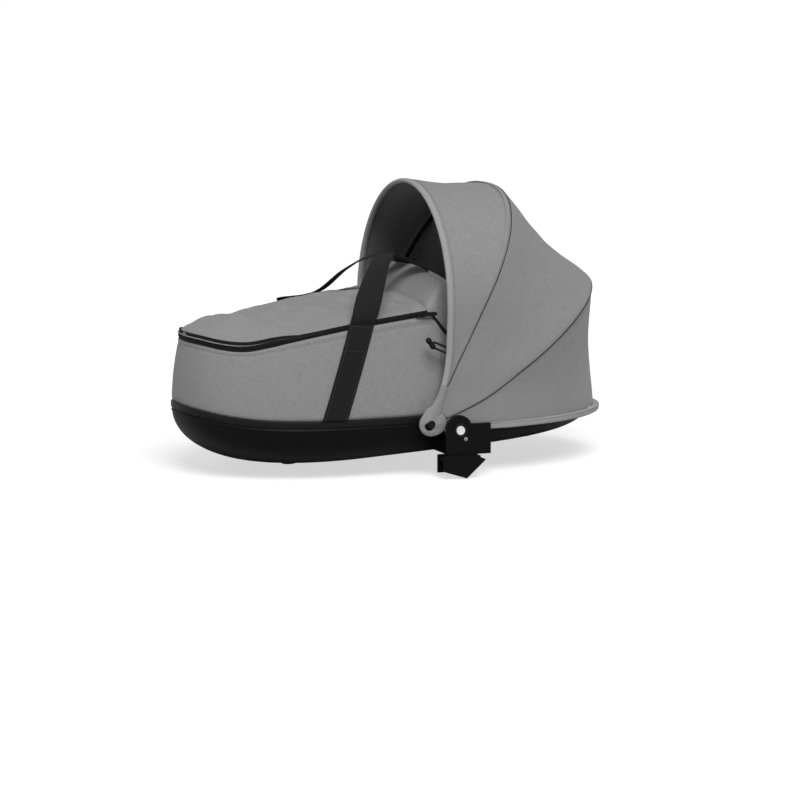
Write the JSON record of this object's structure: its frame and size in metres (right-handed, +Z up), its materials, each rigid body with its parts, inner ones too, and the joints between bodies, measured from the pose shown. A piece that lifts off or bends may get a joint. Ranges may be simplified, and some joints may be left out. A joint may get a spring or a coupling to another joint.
{
  "type": "carrycot",
  "caption": "Soft-sided carrycot with a folding canopy, zipped apron, webbing handles and lift-off adaptors that sit on a pushchair's side arms.",
  "frame": {"origin": "midway between the seats of the two adaptor saddles, level with the arms that they stand on", "axes": "+X towards the head end, +Y to the left as seen from the foot end, +Z up with the waist level as mounted"},
  "size_m": [0.7378, 0.453, 0.468],
  "materials": {
    "black_moulding": "satin",
    "black_trim": "matte",
    "grey_fabric": "fine weave",
    "dark_lining": "soft",
    "black_webbing": "ribbed weave",
    "steel": "plain",
    "bow_plastic": "matte",
    "mattress_cloth": "soft",
    "board": "matte",
    "white_button": "gloss",
    "grey_lamp": "gloss"
  },
  "bodies": {
    "carrycot": {"base_shell": "black_moulding", "waist_band": "black_moulding", "side_wall": "grey_fabric", "lining": "dark_lining", "rim_hoop": "steel", "zip_tape": "black_trim", "head_edge_binding": "black_trim", "foot_pad_foot_right": "black_trim", "foot_pad_foot_left": "black_trim", "foot_pad_head_right": "black_trim", "foot_pad_head_left": "black_trim", "base_board": "board", "mattress": "mattress_cloth", "apron": "grey_fabric", "canopy_hem": "grey_fabric", "canopy_hub_plate_right": "black_moulding", "canopy_hub_plate_left": "black_moulding", "canopy_pin_right": "black_moulding", "canopy_pin_left": "black_moulding", "canopy_boot_right": "grey_fabric", "canopy_boot_left": "grey_fabric", "dock_right": "black_moulding", "dock_left": "black_moulding", "strap_leg_foot_right": "black_webbing", "strap_leg_foot_left": "black_webbing", "strap_leg_head_right": "black_webbing", "strap_leg_head_left": "black_webbing"},
    "canopy_rear": {"canopy_rear_bow": "bow_plastic", "canopy_rear_panel": "grey_fabric"},
    "canopy_mid": {"canopy_mid_bow": "bow_plastic", "canopy_top_panel": "grey_fabric"},
    "canopy_front": {"canopy_front_bow": "bow_plastic", "canopy_visor_panel": "grey_fabric", "toggle_loop_right": "black_trim", "toggle_loop_left": "black_trim", "toggle_right": "black_trim", "toggle_left": "black_trim"},
    "adaptor_right": {"adaptor_ear_right": "black_moulding", "adaptor_shoe_right": "black_moulding", "adaptor_lamp_right": "grey_lamp", "button_spring_right": "steel"},
    "adaptor_left": {"adaptor_ear_left": "black_moulding", "adaptor_shoe_left": "black_moulding", "adaptor_lamp_left": "grey_lamp", "button_spring_left": "steel"},
    "button_right": {"release_button_right": "white_button"},
    "button_left": {"release_button_left": "white_button"},
    "slider_right": {"zip_slider_right": "black_trim"},
    "slider_left": {"zip_slider_left": "black_trim"},
    "pull_right": {"zip_pull_right": "black_trim"},
    "pull_left": {"zip_pull_left": "black_trim"},
    "flap": {"wind_flap": "grey_fabric"},
    "handle_right": {"handle_loop_right": "black_webbing"},
    "handle_left": {"handle_loop_left": "black_webbing"}
  },
  "joints": [
    {"name": "canopy_rear_fold", "type": "hinge", "parent": "carrycot", "child": "canopy_rear", "pos_m": [-0.049, 0, 0.06], "axis": [0, 1, 0], "range_deg": [0, 24], "deforming": ["canopy_rear_panel"]},
    {"name": "canopy_mid_fold", "type": "hinge", "parent": "canopy_rear", "child": "canopy_mid", "pos_m": [-0.049, 0, 0.06], "axis": [0, 1, 0], "range_deg": [0, 28], "deforming": ["canopy_top_panel"]},
    {"name": "canopy_front_fold", "type": "hinge", "parent": "canopy_mid", "child": "canopy_front", "pos_m": [-0.049, 0, 0.06], "axis": [0, 1, 0], "range_deg": [0, 14], "deforming": ["canopy_visor_panel"]},
    {"name": "adaptor_right_lift", "type": "slide", "parent": "carrycot", "child": "adaptor_right", "axis": [0, 0, -1], "range_m": [0, 0.075]},
    {"name": "adaptor_left_lift", "type": "slide", "parent": "carrycot", "child": "adaptor_left", "axis": [0, 0, -1], "range_m": [0, 0.075]},
    {"name": "release_button_right_press", "type": "slide", "parent": "adaptor_right", "child": "button_right", "axis": [0, 1, 0], "range_m": [0, 0.002], "stiffness_N_per_m": 500, "springref_m": -0.003, "deforming": ["button_spring_right"]},
    {"name": "release_button_left_press", "type": "slide", "parent": "adaptor_left", "child": "button_left", "axis": [0, -1, 0], "range_m": [0, 0.002], "stiffness_N_per_m": 500, "springref_m": -0.003, "deforming": ["button_spring_left"]},
    {"name": "zip_right_run", "type": "slide", "parent": "carrycot", "child": "slider_right", "axis": [-0.993, 0, -0.1181], "range_m": [0, 0.06]},
    {"name": "zip_left_run", "type": "slide", "parent": "carrycot", "child": "slider_left", "axis": [-0.993, 0, -0.1181], "range_m": [0, 0.06]},
    {"name": "zip_pull_right_swing", "type": "hinge", "parent": "slider_right", "child": "pull_right", "pos_m": [-0.04925, -0.1724, 0.2352], "axis": [0, 1, 0], "range_deg": [-80, 80]},
    {"name": "zip_pull_left_swing", "type": "hinge", "parent": "slider_left", "child": "pull_left", "pos_m": [-0.04925, 0.1724, 0.2352], "axis": [0, 1, 0], "range_deg": [-80, 80]},
    {"name": "wind_flap_fold", "type": "hinge", "parent": "carrycot", "child": "flap", "pos_m": [-0.04, 0, 0.2363], "axis": [0, 1, 0], "range_deg": [-100, 0], "deforming": ["wind_flap"]},
    {"name": "handle_right_swing", "type": "hinge", "parent": "carrycot", "child": "handle_right", "pos_m": [-0.041, -0.1699, 0.2105], "axis": [0.9942, 0, -0.1073], "range_deg": [0, 35]},
    {"name": "handle_left_swing", "type": "hinge", "parent": "carrycot", "child": "handle_left", "pos_m": [-0.041, 0.1699, 0.2105], "axis": [-0.9942, 0, 0.1073], "range_deg": [0, 35]}
  ]
}
